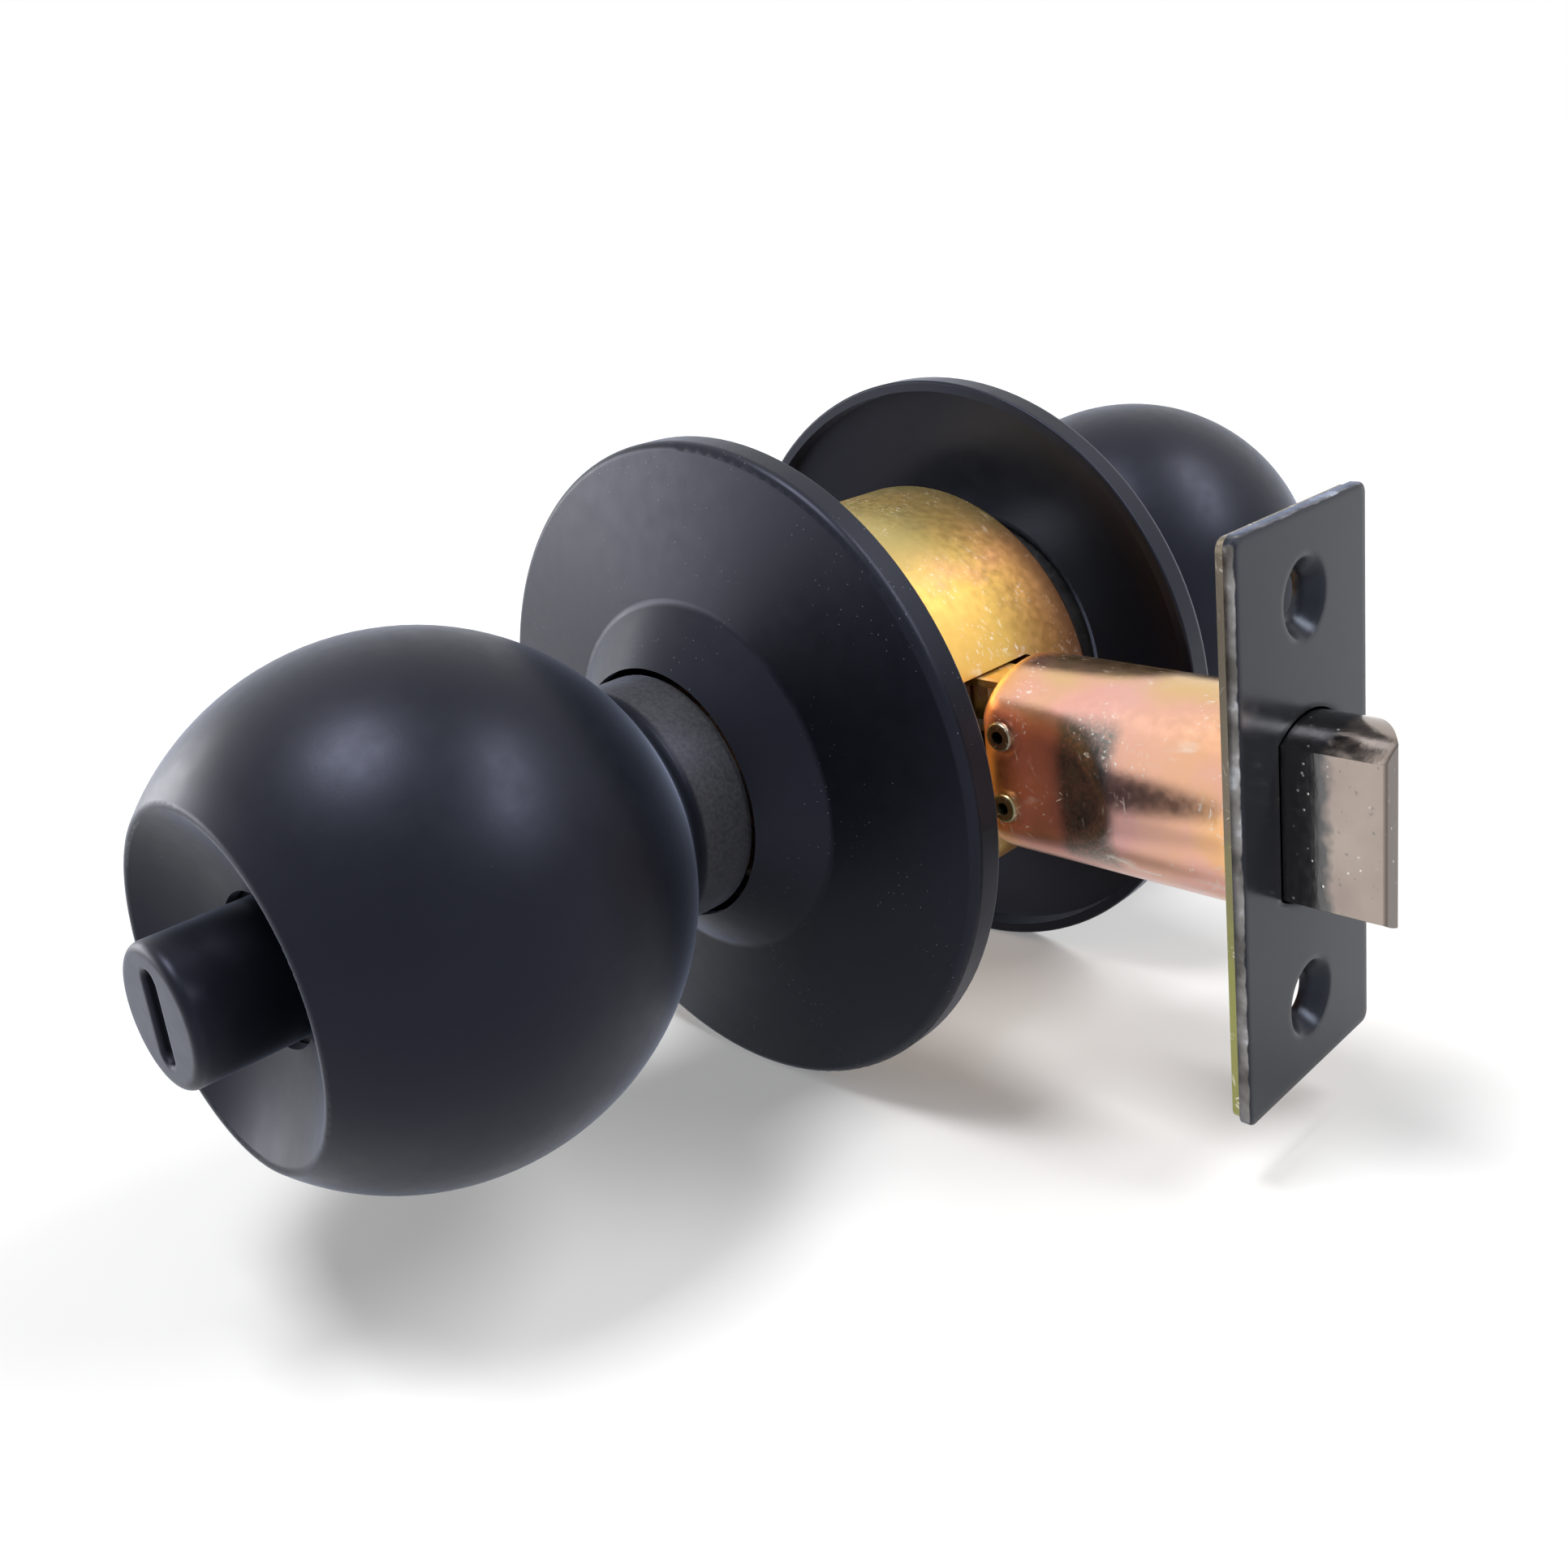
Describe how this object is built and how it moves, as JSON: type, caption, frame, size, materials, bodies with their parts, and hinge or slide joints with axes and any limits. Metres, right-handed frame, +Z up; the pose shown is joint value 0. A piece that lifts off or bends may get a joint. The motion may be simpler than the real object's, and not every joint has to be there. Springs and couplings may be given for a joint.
{
  "type": "cylindrical lock",
  "caption": "Cylindrical knob lock for a door: ball knobs and round roses on a drum chassis, a push and turn lock button, and a spring latch with its faceplate.",
  "frame": {"origin": "where the knob axis crosses the middle of the door, in the cross bore", "axes": "+Y along the knob axis from the inside knob to the outside knob, +X along the latch to the edge of the door, +Z up"},
  "size_m": [0.1071, 0.1662, 0.0736],
  "materials": {
    "black_coat": "satin",
    "yellow_zinc": "satin",
    "zinc_steel": "satin",
    "spring_steel": "satin",
    "cast_zinc": "matte",
    "dark_plate": "satin",
    "nickel": "satin"
  },
  "bodies": {
    "chassis": {"housing": "yellow_zinc", "inside_end_plate": "yellow_zinc", "outside_end_plate": "yellow_zinc", "inside_hub": "yellow_zinc", "outside_hub": "yellow_zinc", "slide_plate": "yellow_zinc", "upper_return_spring": "spring_steel", "lower_return_spring": "spring_steel", "mounting_plate": "yellow_zinc", "upper_mounting_screw": "zinc_steel", "lower_mounting_screw": "zinc_steel", "inside_rose": "black_coat", "outside_rose_seat": "zinc_steel", "outside_rose": "black_coat", "latch_tube": "yellow_zinc", "near_upper_eyelet": "yellow_zinc", "near_lower_eyelet": "yellow_zinc", "far_upper_eyelet": "yellow_zinc", "far_lower_eyelet": "yellow_zinc", "latch_yoke": "yellow_zinc", "latch_spring": "spring_steel", "backing_plate": "yellow_zinc", "faceplate": "dark_plate"},
    "retractor": {"retractor": "cast_zinc"},
    "latch_bolt": {"latch_bolt": "nickel", "latch_tail": "zinc_steel", "tail_pin": "zinc_steel"},
    "inside_knob": {"inside_knob_shell": "black_coat", "inside_knob_sleeve": "cast_zinc", "inside_spindle": "zinc_steel", "inside_catch": "zinc_steel", "button_spring": "spring_steel"},
    "locking_bar": {"locking_bar": "zinc_steel"},
    "lock_button": {"lock_button": "black_coat"},
    "outside_knob": {"outside_knob_shell": "black_coat", "outside_knob_sleeve": "cast_zinc", "outside_spindle": "zinc_steel", "outside_catch": "zinc_steel"}
  },
  "joints": [
    {"name": "inside_knob_turn", "type": "hinge", "parent": "chassis", "child": "inside_knob", "pos_m": [0, 0, 0], "axis": [0, 1, 0], "range_deg": [0, 65], "stiffness_Nm_per_rad": 0.15, "springref_deg": -17.19},
    {"name": "retractor_slide", "type": "slide", "parent": "chassis", "child": "retractor", "axis": [-1, 0, 0], "range_m": [0, 0.0102], "deforming": ["upper_return_spring", "lower_return_spring"]},
    {"name": "latch_bolt_slide", "type": "slide", "parent": "chassis", "child": "latch_bolt", "axis": [-1, 0, 0], "range_m": [0, 0.0102], "deforming": ["latch_spring"]},
    {"name": "button_push", "type": "slide", "parent": "inside_knob", "child": "locking_bar", "axis": [0, 1, 0], "range_m": [0, 0.003], "stiffness_N_per_m": 300, "springref_m": -0.003, "deforming": ["button_spring"]},
    {"name": "button_turn", "type": "hinge", "parent": "locking_bar", "child": "lock_button", "pos_m": [0, -0.08, 0], "axis": [0, 1, 0], "range_deg": [0, 90]},
    {"name": "outside_knob_turn", "type": "hinge", "parent": "chassis", "child": "outside_knob", "pos_m": [0, 0, 0], "axis": [0, 1, 0], "range_deg": [-65, 65], "stiffness_Nm_per_rad": 0.15}
  ],
  "couplings": [
    {"joint": "retractor_slide", "follows": "inside_knob_turn", "m_per_rad": 0.008991},
    {"joint": "latch_bolt_slide", "follows": "inside_knob_turn", "m_per_rad": 0.008991}
  ]
}
